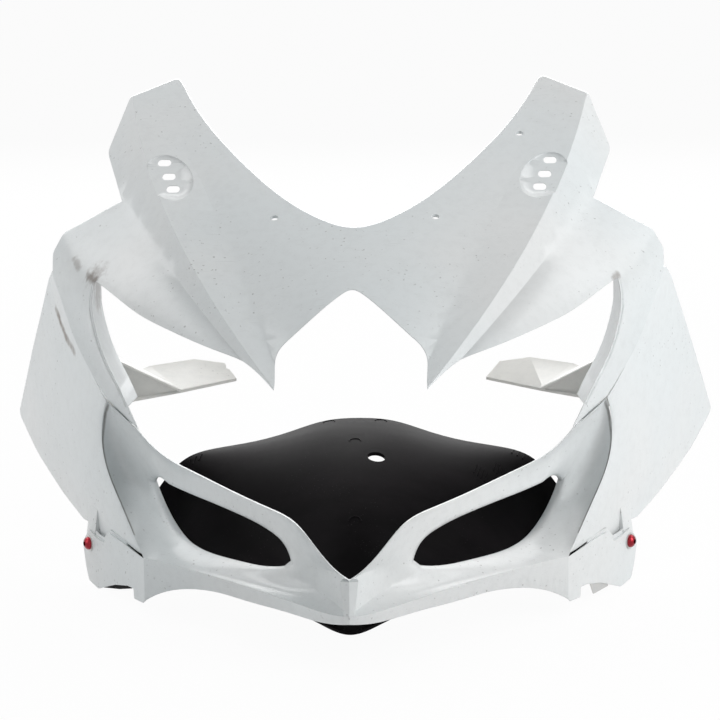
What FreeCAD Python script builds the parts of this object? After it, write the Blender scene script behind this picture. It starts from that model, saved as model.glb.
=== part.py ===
import FreeCAD, Part
import math
import os
from FreeCAD import Placement, Rotation, Vector

doc = FreeCAD.newDocument("fairing")

# Driving sizes in millimetres
SIZES = [
    ("wall", 3.0),
    ("seam_gap", 0.9),
    ("datum_back", 264.37),
    ("datum_lift", 5.86),
    ("duct_depth", 10.0),
    ("flange_depth", 42.0),
    ("screen_hole", 7.0),
    ("slot_length", 12.0),
    ("slot_width", 6.4),
    ("pad_length", 70.0),
    ("pad_width", 42.0),
    ("pad_depth", 1.2),
    ("vent_hole", 16.0),
    ("bolt_shank", 6.0),
    ("bolt_head", 12.0),
    ("bolt_dome", 4.6),
    ("bolt_length", 17.0),
    ("socket_depth", 2.4),
    ("washer_outer", 15.0),
    ("washer_thick", 1.2),
    ("hole_clearance", 0.6),
    ("nut_width", 12.0),
    ("nut_height", 14.0),
    ("nut_sheet", 1.2),
    ("nut_barrel", 10.0),
    ("nut_barrel_height", 6.0),
    ("tongue_thick", 3.0),
    ("screw_shank", 4.8),
    ("screw_head", 11.0),
    ("screw_head_height", 3.0),
    ("screw_length", 3.8),
    ("boss_outer", 9.0),
    ("pilot_depth", 8.0),
]
sheet = doc.addObject("Spreadsheet::Sheet", "Sizes")
for row, (name, value) in enumerate(SIZES, 1):
    sheet.set("A%d" % row, name)
    sheet.set("B%d" % row, str(value))
    sheet.setAlias("B%d" % row, name)
doc.recompute()


def size(name):
    return float(sheet.get(name))


WALL = size("wall")
GAP = size("seam_gap")

# Guide lines of the upper skin, right half, as (x, depth behind the nose tip, height)
CENTRE = [(0, 105, 235), (0, 190, 285), (0, 270, 326), (0, 385, 380), (0, 500, 432)]
FOLD = [(54, 105, 211), (100, 235, 294), (147, 365, 366), (200, 500, 440)]
RIDGE = [(61, 105, 213), (140, 235, 296), (190, 365, 368), (220, 500, 442)]
VALLEY = [(63.5, 105, 210), (150, 235, 281), (212, 365, 339), (260, 500, 395)]
BROW = [(68, 105, 206), (140, 180, 245), (204, 250, 263), (245, 345, 312), (285, 500, 360)]
SHOULDER = [(78, 105, 196), (152, 180, 231), (213, 250, 248), (269, 345, 295), (305, 500, 340)]
SIDE = [(82, 105, 182), (157, 180, 213), (214, 250, 224), (277, 345, 276), (312, 500, 310)]
LOW = [(84, 105, 150), (157, 180, 150), (215, 250, 165), (280, 345, 250), (316, 500, 270)]
STATIONS = [105, 140, 180, 215, 250, 285, 320, 350, 400, 450, 500]

# Front outlines of the upper cowl, right half, as (x, height)
SCREEN_EDGE = [(0, 326), (32, 332), (53, 340), (84, 356.5), (110, 374), (132, 391), (151, 409), (166, 427.5)]
EAR = [(166, 427.5), (172, 434), (215, 420), (234.5, 372), (215, 336.5)]
EAR_RADII = [6, 7, 9]
BROW_REAR = [(215, 336.5), (269, 308), (278.5, 291), (278.5, 272)]
BROW_REAR_RADII = [14, 10]
LEG_OUTER = [(278.5, 272), (266, 245), (254, 218), (238, 194), (222, 174)]
LEG_INNER = [(191, 156), (201, 171.5), (213, 192), (224, 211), (232, 235), (235.5, 254), (233, 276)]
BROW_EDGE = [(233, 276), (217, 269.5), (187, 256.5), (165, 250.5), (141, 244.7), (115, 239), (91, 232.5),
             (78, 225.5), (64.5, 215)]
FANG_EDGE = [(64.5, 215), (64.3, 226), (64, 236), (60, 243.5), (52, 251), (30.5, 268), (12, 280.5), (0, 285)]


def vec(point):
    return Vector(*point)


def mirror_x(v):
    return Vector(-v.x, v.y, v.z)


def even(count):
    return [i / (count - 1) for i in range(count)]


def through(points, shares):
    # Curve through points at the given shares of its run
    curve = Part.BSplineCurve()
    curve.interpolate(Points=points, Parameters=shares)
    return curve


def spline(points, shares=None):
    if len(points) == 2:
        return Part.makeLine(points[0], points[1])
    if shares:
        return through(points, shares).toShape()
    curve = Part.BSplineCurve()
    curve.interpolate(points)
    return curve.toShape()


def spread(points, count):
    # Points at even steps along the curve through a few points
    return spline(points).discretize(Number=count)


def skin(rows, along, across):
    # Face through rows of points, at set shares along the rows and across them
    lines = [through(row, along) for row in rows]
    ribs = [through(list(column), across) for column in zip(*[line.getPoles() for line in lines])]
    line, rib = lines[0], ribs[0]
    surface = Part.BSplineSurface()
    surface.buildFromPolesMultsKnots([r.getPoles() for r in ribs], line.getMultiplicities(), rib.getMultiplicities(),
                                     line.getKnots(), rib.getKnots(), False, False, line.Degree, rib.Degree)
    return surface.toShape()


def sewn(faces):
    sew = Part.Compound(faces)
    sew.sewShape(0.02)
    body = Part.Solid(sew.Shells[0])
    if body.Volume < 0:
        body.reverse()
    return body


def guide_point(guide, depth):
    # Point of a guide line at a depth, found by halving
    curve = Part.BSplineCurve()
    curve.interpolate([vec(p) for p in guide])
    low, high = curve.FirstParameter, curve.LastParameter
    for _ in range(40):
        middle = (low + high) / 2
        if curve.value(middle).y < depth:
            low = middle
        else:
            high = middle
    return curve.value((low + high) / 2)


def offset_row(points, distance):
    # Row of points in one upright plane moved to its inner side
    moved = []
    for i, p in enumerate(points):
        ahead = points[min(i + 1, len(points) - 1)]
        behind = points[max(i - 1, 0)]
        first = (p - behind) if i else (ahead - p)
        second = (ahead - p) if i < len(points) - 1 else first
        n1 = Vector(first.z, 0, -first.x).normalize()
        n2 = Vector(second.z, 0, -second.x).normalize()
        n = (n1 + n2).normalize()
        moved.append(p + n * (distance / max(n.dot(n1), 0.5)))
    return moved


# Runs of one section between its creases: first point, last point and number of even steps
RUNS = [(0, 4, 8), (4, 5, 2), (5, 6, 2), (6, 10, 9), (10, 11, 2), (11, 12, 2), (12, 16, 8)]
UPPER_INSET = WALL * 1.13


def upper_runs(depth, inset):
    half = [guide_point(g, depth) for g in (FOLD, RIDGE, VALLEY, BROW, SHOULDER, SIDE, LOW)]
    centre = guide_point(CENTRE, depth)
    fold = half[0]
    quarter = Vector(fold.x / 2, depth, centre.z - (centre.z - fold.z) / 4)
    right = [Vector(p.x, depth, p.z) for p in [quarter] + half]
    left = [mirror_x(p) for p in reversed(right)]
    row = left + [Vector(0, depth, centre.z)] + right
    if inset:
        row = offset_row(row, inset)
    return [spread(row[a:b + 1], count) for a, b, count in RUNS]


def upper_shell():
    depths = [(y - STATIONS[0]) / (STATIONS[-1] - STATIONS[0]) for y in STATIONS]
    layers = [[upper_runs(y, inset) for y in STATIONS] for inset in (0, UPPER_INSET)]
    faces = []
    for rows in layers:
        for k, (_, _, count) in enumerate(RUNS):
            faces.append(skin([row[k] for row in rows], even(count), depths))
    for k in (0, -1):
        lines = [[row[k][k] for row in rows] for rows in layers]
        faces.append(skin(lines, depths, even(2)))
    for end in (0, -1):
        outer, inner = [rows[end] for rows in layers]
        edges = [spline(run, even(len(run))) for run in outer + inner]
        edges += [Part.makeLine(outer[k][k], inner[k][k]) for k in (0, -1)]
        faces.append(Part.Face(Part.Wire(Part.__sortEdges__(edges))))
    return sewn(faces)


def front(points, side=1):
    return [Vector(side * x, 0, z) for x, z in points]


def rounded(points, radii):
    # Lines through corner points with an arc of the given radius at each inner corner
    edges = []
    start = points[0]
    for corner, after, radius in zip(points[1:-1], points[2:], radii):
        u = (start - corner).normalize()
        w = (after - corner).normalize()
        half = math.acos(max(-1, min(1, u.dot(w)))) / 2
        reach = radius / math.tan(half)
        a = corner + u * reach
        b = corner + w * reach
        middle = corner + (u + w).normalize() * (radius / math.sin(half) - radius)
        edges.append(Part.makeLine(start, a))
        edges.append(Part.Arc(a, middle, b).toShape())
        start = b
    edges.append(Part.makeLine(start, points[-1]))
    return edges


def prism(edges, depth=620):
    wire = Part.Wire(Part.__sortEdges__(edges))
    return Part.Face(wire).extrude(Vector(0, depth, 0))


def half_outline(side):
    edges = rounded(front(EAR, side), EAR_RADII)
    edges += rounded(front(BROW_REAR, side), BROW_REAR_RADII)
    edges.append(spline(front(LEG_OUTER, side)))
    edges.append(spline(front([LEG_OUTER[-1], LEG_INNER[0]], side)))
    edges.append(spline(front(LEG_INNER, side)))
    edges.append(spline(front(BROW_EDGE, side)))
    return edges


def mirrored_run(points):
    # One curve across the middle from the points of its right half
    left = front(points, -1)[::-1]
    return spline(left[:-1] + front(points))


def feature(name, shape):
    item = doc.addObject("Part::Feature", name)
    item.Shape = shape
    return item


def joined(name, items):
    item = doc.addObject("Part::MultiFuse", name)
    item.Shapes = items
    item.Refine = True
    doc.recompute()
    return item


def shared(name, items):
    item = doc.addObject("Part::MultiCommon", name)
    item.Shapes = items
    doc.recompute()
    return item


def less(name, base, tools):
    tool = tools[0] if len(tools) == 1 else joined(name + "_tools", tools)
    item = doc.addObject("Part::Cut", name)
    item.Base = base
    item.Tool = tool
    doc.recompute()
    return item


def mirrored(name, source):
    item = doc.addObject("Part::Mirroring", name)
    item.Source = source
    item.Normal = Vector(1, 0, 0)
    doc.recompute()
    return item


def bound(kind, name, **formulas):
    # Primitive whose sizes follow the sheet
    item = doc.addObject(kind, name)
    for prop, formula in formulas.items():
        item.setExpression(prop, formula)
    return item


def facing(point, direction):
    # Placement with its Z axis along a direction
    return Placement(point, Rotation(Vector(0, 0, 1), direction))


def skin_depth(solid, x, z):
    # Depth at which a line straight to the rear first meets the curved faces of a skin
    line = Part.Line(Vector(x, 0, z), Vector(x, 1, z))
    found = []
    for face in solid.Faces:
        if face.Surface.TypeId == "Part::GeomBSplineSurface":
            found += [p.Y for p in face.Surface.intersect(line)[0]]
    return min(found)


def skin_normal(solid, x, z, step=3):
    across = (skin_depth(solid, x + step, z) - skin_depth(solid, x - step, z)) / (2 * step)
    up = (skin_depth(solid, x, z + step) - skin_depth(solid, x, z - step)) / (2 * step)
    return Vector(across, -1, up).normalize()


def skin_point(solid, x, z):
    return Vector(x, skin_depth(solid, x, z), z)


def hits(solid, point, direction, reach=60):
    # Nearest and farthest distance of a solid along a line from a point
    found = solid.common(Part.makeLine(point, point + direction * reach)).Vertexes
    spans = [(v.Point - point).dot(direction) for v in found]
    return min(spans), max(spans)


# Nose loops, right half: bar top, leg joint, seam, chin and stem of the outer rim
BAR = [(0, 15, 76), (7.5, 17, 77), (18, 27, 86), (32, 45, 101.5), (42, 57, 110), (71, 95, 117), (107, 138, 122),
       (144, 180, 129), (165, 201, 135), (181, 214, 145), (191, 220, 155)]
JOINT = [(191, 220, 155), (222, 256, 173)]
SEAM = [(222, 256, 173), (226, 255, 157), (226.5, 250, 135), (222, 242, 115.5), (210.5, 226, 91.5),
        (198.5, 208, 70), (186, 190, 47)]
CHIN = [(186, 190, 47), (164, 172, 47.5), (128, 138, 47.5), (97, 105, 48), (62, 66, 48), (24, 22, 48),
        (10, 7, 48.5), (0, 3, 49)]
STEM = [(0, 3, 49), (0, 9, 62), (0, 15, 76)]
# Nostril edge in the same order
LIP_BAR = [(49, 84, 71), (51.5, 87, 79.5), (62.5, 100, 90), (89, 130, 98.5), (126, 173, 103), (163, 213, 108)]
LIP_JOINT = [(163, 213, 108), (176, 233, 109.5), (182, 248, 101)]
LIP_SEAM = [(182, 248, 101), (174, 245, 80), (162.5, 228, 64.5), (151.5, 208, 57)]
LIP_CHIN = [(151.5, 208, 57), (129.5, 172, 54), (102, 140, 55.5), (73, 108, 59), (55, 90, 64.5)]
LIP_STEM = [(55, 90, 64.5), (49, 84, 71)]

SAMPLES = 9
JOINT_RUN = 1
CHIN_RUN = 3


def resample(points, count=SAMPLES):
    return spread([vec(p) for p in points], count)


OUTER = [resample(p) for p in (BAR, JOINT, SEAM, CHIN, STEM)]
LIP = [resample(p) for p in (LIP_BAR, LIP_JOINT, LIP_SEAM, LIP_CHIN, LIP_STEM)]
NOSTRIL = Vector(115, 160, 82)


def blend(a, b, across, deep, shift=Vector()):
    return Vector(a.x + across * (b.x - a.x), a.y + deep * (b.y - a.y), a.z + across * (b.z - a.z)) + shift


def mix(values, i):
    # Value that runs evenly from one end of a run to the other
    return values[0] + (values[1] - values[0]) * i / (SAMPLES - 1)


# Rim loop between outer edge and nostril: share across, share in depth and drop, at both ends of each run
RIM = [((0.30, 0.45), (0.50, 0.05), (0, 0)), ((0.45, 0.25), (0.05, 0.0), (0, 0)),
       ((0.25, 0.25), (0.0, 0.0), (0, 0)), ((0.25, 0.30), (0.0, 0.50), (0, -3)),
       ((0.30, 0.30), (0.50, 0.50), (-3, 0))]
# Depth of the hollow in the middle of each run
HOLLOW = [0, 0, 12, 0, 0]


def rim_loop():
    loop = []
    for k, (across, deep, drop) in enumerate(RIM):
        run = []
        for i in range(SAMPLES):
            t = i / (SAMPLES - 1)
            bend = Vector(0, 4 * HOLLOW[k] * t * (1 - t), mix(drop, i))
            run.append(blend(OUTER[k][i], LIP[k][i], mix(across, i), mix(deep, i), bend))
        loop.append(run)
    return loop


# Rearward shift of the inner skin at the nostril edge, at both ends of each run, as a share of the wall
SETBACK = [(0.6, 0.8), (0.8, 1.5), (1.5, 1.0), (1.0, 0.6), (0.6, 0.6)]


def grown(loop, amount, setback):
    # Loop moved square to its own line, away from the nostril centre, and rearward
    ring = [p for run in loop for p in run[:-1]]
    spread = []
    for i, p in enumerate(ring):
        along = ring[(i + 1) % len(ring)] - ring[i - 1]
        away = along.cross(Vector(0, 1, 0)).normalize()
        if away.dot(p - NOSTRIL) < 0:
            away = away * -1
        spread.append(p + away * amount)
    rows = []
    start = 0
    for k, run in enumerate(loop):
        back = [Vector(0, amount * setback * mix(SETBACK[k], i), 0) for i in range(SAMPLES)]
        rows.append([spread[(start + i) % len(spread)] + back[i] for i in range(SAMPLES)])
        start += SAMPLES - 1
    return rows


def shrunk(loop, share, back):
    out = []
    for run in loop:
        row = []
        for p in run:
            row.append(Vector(NOSTRIL.x + share * (p.x - NOSTRIL.x), p.y + back, NOSTRIL.z + share * (p.z - NOSTRIL.z)))
        out.append(row)
    return out


# Sideways and downward shift of the inner skin at both ends of each run, as shares of the wall
SIDEWAYS = [(0, 0), (0, 0), (0, -0.35), (-0.35, 0), (0, 0)]
DOWNWARD = [(0, 0), (0, 0), (0, -1), (-1, -1), (-1, 0)]
BACKWARD = 1.35


def behind(loop):
    # Inner skin of a loop on the front face
    rows = []
    for k, run in enumerate(loop):
        shifts = [Vector(mix(SIDEWAYS[k], i), BACKWARD, mix(DOWNWARD[k], i)) * WALL for i in range(SAMPLES)]
        rows.append([p + shift for p, shift in zip(run, shifts)])
    return rows


def ruled(run_a, run_b):
    shares = even(len(run_a))
    return Part.makeRuledSurface(spline(run_a, shares), spline(run_b, shares), 1)


# Shares of the way from the outer edge over rim and nostril edge into the duct
NOSE_SHARES = [0, 0.22, 0.86, 1]


def scoop_faces():
    rim = rim_loop()
    duct = shrunk(LIP, 0.96, size("duct_depth"))
    inner = [behind(OUTER), behind(rim), grown(LIP, WALL, 1), grown(duct, WALL, 0)]
    outer = [OUTER, rim, LIP, duct]
    faces = []
    for k in range(len(OUTER)):
        for loops in (outer, inner):
            faces.append(skin([loop[k] for loop in loops], even(SAMPLES), NOSE_SHARES))
        if k != CHIN_RUN:
            faces.append(ruled(outer[0][k], inner[0][k]))
        faces.append(ruled(outer[-1][k], inner[-1][k]))
    return faces


# Nose cowl: scoop, chin band and lower wing of the left half, then the mirrored half
BOTTOM = [(186, 190, 8), (174, 182, 16.5), (145, 160, 27.5), (119.5, 136, 32), (89, 103, 33), (53.5, 64, 35),
          (15.5, 19, 38.5), (7, 11, 40.5), (0, 8, 41)]
# Wing outline as (x, height), on an upright plane through the seam tip
WING = [(186, 47), (211, 51), (222.5, 51.7), (229.8, 40.5), (237, 41), (246, 45), (253.5, 31), (250.5, 9),
        (247.5, -3), (237, -6), (218, 7), (204, 13), (198, 13.5), (197.5, 4.5), (187.5, 5.5), (186, 8)]
WING_RADII = [3, 3, 2, 2, 4, 6, 10, 6, 6, 8, 8, 1, 2, 1]
WING_SLOPE = 1.72
WING_ROOT = Vector(186, 190, 0)
WING_IN = Vector(-WING_SLOPE, 1, 0).normalize()
WING_ALONG = Vector(1, WING_SLOPE, 0).normalize()


def on_wing(x, z):
    return Vector(x, WING_ROOT.y + WING_SLOPE * (x - WING_ROOT.x), z)


def chin_faces():
    top = OUTER[CHIN_RUN]
    top_in = behind(OUTER)[CHIN_RUN]
    low = resample(BOTTOM)
    low_in = []
    for i, p in enumerate(low):
        low_in.append(p + Vector(mix(SIDEWAYS[CHIN_RUN], i), BACKWARD, 0) * WALL)
    faces = [ruled(top, low), ruled(top_in, low_in), ruled(low, low_in)]
    faces.append(ruled([top[-1], low[-1]], [top_in[-1], low_in[-1]]))
    return faces


def wing_faces():
    ring = [on_wing(x, z) for x, z in WING]
    step = Vector(SIDEWAYS[CHIN_RUN][0], BACKWARD, 0) * WALL
    outer = rounded(ring, WING_RADII)
    inner = [edge.translated(step) for edge in outer]
    root = ring[0] + step + Vector(0, 0, DOWNWARD[CHIN_RUN][0]) * WALL
    inner[0] = Part.makeLine(root, inner[0].Vertexes[-1].Point)
    faces = [Part.makeRuledSurface(a, b, 1) for a, b in zip(outer, inner)]
    faces.append(Part.Face(Part.Wire(outer + [Part.makeLine(ring[-1], ring[0])])))
    faces.append(Part.Face(Part.Wire(inner + [Part.makeLine(ring[-1] + step, root)])))
    return faces


# Corner of the nose kept clear of the leg and the side panel, as (x, height)
LEG_CORNER = [(196, 158.3), (222.2, 173.4), (223, 171), (224.9, 164), (245, 164), (245, 200), (196, 200)]
nose_half = feature("nose_half", sewn(scoop_faces() + chin_faces() + wing_faces()))
corner = front(LEG_CORNER)
joint_room = feature("joint_room", prism(Part.makePolygon(corner + corner[:1]).Edges))
nose_left = less("nose_left", nose_half, [joint_room])

# Side panel: upright sheet bowed outward, with its front edge rolled in along the seam
SIDE_SLOPE = 2.16
SIDE_BOW = 16.0
SIDE_SPAN = 152.6


def side_depth(x):
    s = (x - WING_ROOT.x) / SIDE_SPAN
    return WING_ROOT.y + SIDE_SLOPE * (x - WING_ROOT.x) - 4 * SIDE_BOW * s * (1 - s)


# Front edge of the panel at each height, and how far it rolls in there
SIDE_FRONT = [(25, 172, 8), (47, 185, 8), (70, 197.5, 8), (91.5, 209.5, 8), (115.5, 221, 8), (135, 225.5, 8),
              (157, 225, 8), (173, 221, 5), (194, 224, 0), (218, 238, 0), (245, 250, 0), (290, 268, 0)]


SIDE_SHARES = [0, 0.03, 0.07, 0.56, 0.77, 1]


def side_rows(height, edge, roll):
    plan = [(edge, roll), (edge + 4, roll * 0.3), (edge + 9, 0), (290, 0), (320, 0), (352, 0)]
    tuck = max(0, 90 - height) * 0.12
    row = [Vector(x, side_depth(x) + inset + tuck, height) for x, inset in plan]
    inner = []
    for i, q in enumerate(row):
        along = row[min(i + 1, len(row) - 1)] - row[max(i - 1, 0)]
        inner.append(q + Vector(-along.y, along.x, 0).normalize() * WALL)
    return row, inner


def side_shell():
    rows = [side_rows(*front_row) for front_row in SIDE_FRONT]
    low, high = SIDE_FRONT[0][0], SIDE_FRONT[-1][0]
    heights = [(front_row[0] - low) / (high - low) for front_row in SIDE_FRONT]
    faces = [skin([row[k] for row in rows], SIDE_SHARES, heights) for k in (0, 1)]
    for end in (0, -1):
        faces.append(skin([[row[k][end] for row in rows] for k in (0, 1)], heights, even(2)))
        faces.append(skin(list(rows[end]), SIDE_SHARES, even(2)))
    return sewn(faces)


SIDE_RIM = [(x + GAP, z) for x, _, z in SEAM]
SIDE_TOP = [(223.4, 173), (240.4, 194.5), (247, 222), (256, 248), (268, 272), (282, 271.5), (289, 258), (316, 177),
            (339, 103), (314, 78.5), (280, 57.5), (255, 46), (245, 47.5), (237, 42.6), (230, 42), (222.5, 53.2),
            (211, 52.5), (187.4, 47.5)]
SIDE_TOP_RADII = [12, 20, 20, 6, 4, 8, 60, 9, 60, 20, 4, 3, 2, 2, 3, 3]


def side_trim():
    edges = [spline(front(SIDE_RIM))]
    ring = front(SIDE_TOP)
    ring[0] = front(SIDE_RIM)[0]
    ring[-1] = front(SIDE_RIM)[-1]
    edges += rounded(ring, SIDE_TOP_RADII)
    return prism(edges)


side_sheet = shared("side_sheet", [feature("side_skin", side_shell()), feature("side_trim", side_trim())])

# Under panel: arch lofted through front edge, two ribs and rear edge
UNDER = [
    [(0, 24, 30), (30, 46, 35), (62, 79, 37), (97, 116, 37), (128, 148.2, 36), (160, 176, 31), (186, 202, 22),
     (206, 235, 12), (228, 271, 4)],
    [(0, 90, 66), (40, 106, 60), (75, 132, 54), (108, 165, 50), (140, 200, 48), (168, 226, 44), (192, 242, 36),
     (210, 255, 24), (229, 275, 6)],
    [(0, 200, 117), (40, 206, 112), (80, 218, 104), (115, 236, 96), (145, 255, 84), (165, 264, 70),
     (185, 266, 54), (207, 272, 32), (230, 281, 8)],
    [(0, 330, 140), (35, 328, 137), (68, 322, 127.5), (118, 312, 118.5), (149, 304, 113), (163, 296, 106),
     (184, 288, 80), (207, 287, 46), (231, 288, 10)],
]


UNDER_SHARES = [0, 0.27, 0.64, 1]
UNDER_STEPS = 19


def under_arch():
    rows = []
    for line in UNDER:
        right = [vec(q) for q in line]
        left = [mirror_x(q) for q in reversed(right)]
        rows.append(spread(left[:-1] + right, UNDER_STEPS))
    arch = skin(rows, even(UNDER_STEPS), UNDER_SHARES)
    return arch.extrude(Vector(0, WALL * 0.35, -WALL * 0.95))


under_sheet = feature("under_sheet", under_arch())

# Upper cowl
upper_skin = upper_shell()
outline = half_outline(1) + half_outline(-1)
outline += [mirrored_run(SCREEN_EDGE), mirrored_run(FANG_EDGE[::-1])]
upper_sheet = shared("upper_sheet", [feature("upper_skin", upper_skin), feature("upper_trim", prism(outline))])

nose_right = mirrored("nose_right", nose_left)

# Stem between the nostrils: height, depth of its middle, half width, depth of its sides and of its back
POST = [(47.5, 4.4, 4.5, 6.2, 7.6), (49.5, 2.95, 4.6, 4.9, 12), (75.3, 14.4, 7.6, 16.9, 24)]


def stem_post():
    rings = []
    for height, front_y, half, side_y, back_y in POST:
        ring = [Vector(-half, side_y, height), Vector(0, front_y, height), Vector(half, side_y, height),
                Vector(half * 0.8, back_y, height), Vector(-half * 0.8, back_y, height)]
        rings.append(Part.makePolygon(ring + ring[:1]))
    return Part.makeLoft(rings, True, True)


nose_halves = joined("nose_halves", [nose_left, nose_right])
nose_sheet = joined("nose_sheet", [nose_halves, feature("stem_post", stem_post())])

UPPER = upper_skin


# Return flange along the inner edge of the leg
def leg_flange():
    near = []
    for x, z in LEG_INNER[1:-1]:
        near.append(skin_point(UPPER, x + 0.6, z) + Vector(0, WALL * 0.5, 0))
    far = [q + Vector(-4.5, size("flange_depth"), 0) for q in near]
    return ruled(near, far).extrude(Vector(WALL * 0.8, 0, 0))


flange_left = feature("leg_flange_left", leg_flange())
flange_right = mirrored("leg_flange_right", flange_left)


def pair(kind, name, point, axis, **formulas):
    # The same primitive on both sides of the middle plane
    made = []
    for side, p, a in (("left", point, axis), ("right", mirror_x(point), mirror_x(axis))):
        item = bound(kind, "%s_%s" % (name, side), **formulas)
        item.Placement = facing(p, a)
        made.append(item)
    doc.recompute()
    return made


def plate(name, point, axis, along, box):
    # Box in a local frame with Z along the axis and Y along the given line, box as (x0, x1, y0, y1, z0, z1)
    across = along.cross(axis).normalize()
    along = axis.cross(across).normalize()
    x0, x1, y0, y1, z0, z1 = box
    corner = point + across * x0 + along * y0 + axis * z0
    shape = Part.makeBox(x1 - x0, y1 - y0, z1 - z0)
    frame = FreeCAD.Matrix(across.x, along.x, axis.x, corner.x, across.y, along.y, axis.y, corner.y,
                           across.z, along.z, axis.z, corner.z, 0, 0, 0, 1)
    return feature(name, shape.transformGeometry(frame))


# Fixing points as (x, height): nose to leg, cover to side panel, bolt on the wing
LEG_FIX = (221.5, 185)
COVER_FIX = (272, 178)
BOLT_FIX = (245.5, 33)

leg_in = skin_normal(UPPER, *LEG_FIX) * -1
leg_at = skin_point(UPPER, *LEG_FIX)
leg_seat = hits(UPPER, leg_at, leg_in)[1]
leg_boss = pair("Part::Cylinder", "leg_boss", leg_at + leg_in * (WALL * 0.6), leg_in,
                Radius="Sizes.boss_outer / 2", Height="Sizes.wall * 0.4 + Sizes.tongue_thick - Sizes.hole_clearance")
leg_pilot = pair("Part::Cylinder", "leg_pilot", leg_at + leg_in * (WALL * 0.6), leg_in,
                 Radius="Sizes.screw_shank / 2 + 0.05", Height="Sizes.pilot_depth")


def side_in(x):
    step = (side_depth(x + 1) - side_depth(x - 1)) / 2
    return Vector(-step, 1, 0).normalize()


def side_point(x, z):
    return Vector(x, side_depth(x), z)


# Holes and slots of the upper cowl
SCREEN_HOLES = [(71.5, 332), (-71.5, 332), (149, 390)]
MIRROR_SLOTS = [(165.5, 351.5), (170.5, 360.5), (176, 370.5)]


def hole(name, x, z):
    # Holes are drawn straight up and forward, with no sideways tilt
    n = skin_normal(UPPER, x, z)
    n = Vector(0, n.y, n.z).normalize()
    item = bound("Part::Cylinder", name, Radius="Sizes.screen_hole / 2", Height="Sizes.wall * 6")
    item.Placement = facing(skin_point(UPPER, x, z) - n * (WALL * 3), n)
    return item


# Slots are pierced from the front, at the rider's line of sight
PIERCE = Vector(0, -0.978, 0.208)
PAD_AT = (170, 360)
PAD_LEAN = Vector(0.28, 0.88, 0.47)


def mirror_pad(name):
    n = skin_normal(UPPER, *PAD_AT)
    centre = skin_point(UPPER, *PAD_AT)
    along = (PAD_LEAN - n * PAD_LEAN.dot(n)).normalize()
    floor = centre - n * size("pad_depth")
    tips = [floor + along * (size("pad_length") / 2), floor + n.cross(along) * (size("pad_width") / 2)]
    oval = Part.Wire(Part.Ellipse(tips[0], tips[1], floor).toShape())
    return feature(name, Part.Face(oval).extrude(n * (WALL * 6)))


def slot(name, x, z):
    n = PIERCE
    r = size("slot_width") / 2
    reach = size("slot_length") / 2 - r
    ring = [Part.makeLine(Vector(-reach, -r, 0), Vector(reach, -r, 0)),
            Part.Arc(Vector(reach, -r, 0), Vector(reach + r, 0, 0), Vector(reach, r, 0)).toShape(),
            Part.makeLine(Vector(reach, r, 0), Vector(-reach, r, 0)),
            Part.Arc(Vector(-reach, r, 0), Vector(-reach - r, 0, 0), Vector(-reach, -r, 0)).toShape()]
    item = feature(name, Part.Face(Part.Wire(ring)).extrude(Vector(0, 0, WALL * 10)))
    item.Placement = facing(skin_point(UPPER, x, z) - n * (WALL * 5), n)
    return item


openings = [hole("screen_hole_%d" % i, x, z) for i, (x, z) in enumerate(SCREEN_HOLES, 1)]
for i, (x, z) in enumerate(MIRROR_SLOTS, 1):
    cutter = slot("mirror_slot_left_%d" % i, x, z)
    openings += [cutter, mirrored("mirror_slot_right_%d" % i, cutter)]
pad_left = mirror_pad("mirror_pad_left")
openings += [pad_left, mirrored("mirror_pad_right", pad_left)]
doc.recompute()
upper_solid = joined("upper_solid", [upper_sheet, flange_left, flange_right] + leg_boss)
upper_cowl = less("upper_cowl", upper_solid, openings + leg_pilot)

# Nose cowl with tongues behind the legs and bolt holes in the wings
leg_up = Vector(0.65, 0.95, 1)


def strap():
    # Strip from inside the nose wall below the joint to the pad behind the leg
    rim = rim_loop()
    low = [blend(OUTER[JOINT_RUN][i], rim[JOINT_RUN][i], 0.3, 0.3) + Vector(0, WALL * 0.7, 0) for i in (2, 6)]
    across = leg_in.cross(leg_up).normalize() * 7
    if across.x < 0:
        across = across * -1
    high = [leg_at + leg_in * (leg_seat - 0.4) - across, leg_at + leg_in * (leg_seat - 0.4) + across]
    ends = []
    for pair_of, deep in ((low, Vector(0, WALL * 1.6, 0)), (high, leg_in * size("tongue_thick"))):
        ring = [pair_of[0], pair_of[1], pair_of[1] + deep, pair_of[0] + deep]
        ends.append(Part.makePolygon(ring + ring[:1]))
    return Part.makeLoft(ends, True, True)


pad = plate("tongue_pad", leg_at, leg_in, leg_up, (-7, 7, -7, 8, leg_seat - 0.4, leg_seat + size("tongue_thick")))
tongue_raw = joined("tongue_raw", [pad, feature("tongue_strap", strap())])
boss_room = pair("Part::Cylinder", "leg_boss_room", leg_at, leg_in,
                 Radius="Sizes.boss_outer / 2 + Sizes.hole_clearance / 2", Height="Sizes.wall * 6")
tongue_left = less("tongue_left", tongue_raw, [upper_sheet, flange_left, boss_room[0]])
tongue_right = mirrored("tongue_right", tongue_left)
bolt_at = on_wing(*BOLT_FIX)
bolt_room = pair("Part::Cylinder", "bolt_room", bolt_at - WING_IN * 10, WING_IN,
                 Radius="Sizes.bolt_shank / 2 + Sizes.hole_clearance / 2", Height="40 mm")
nose_solid = joined("nose_solid", [nose_sheet, tongue_left, tongue_right])
nose_cowl = less("nose_cowl", nose_solid, bolt_room)

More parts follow.
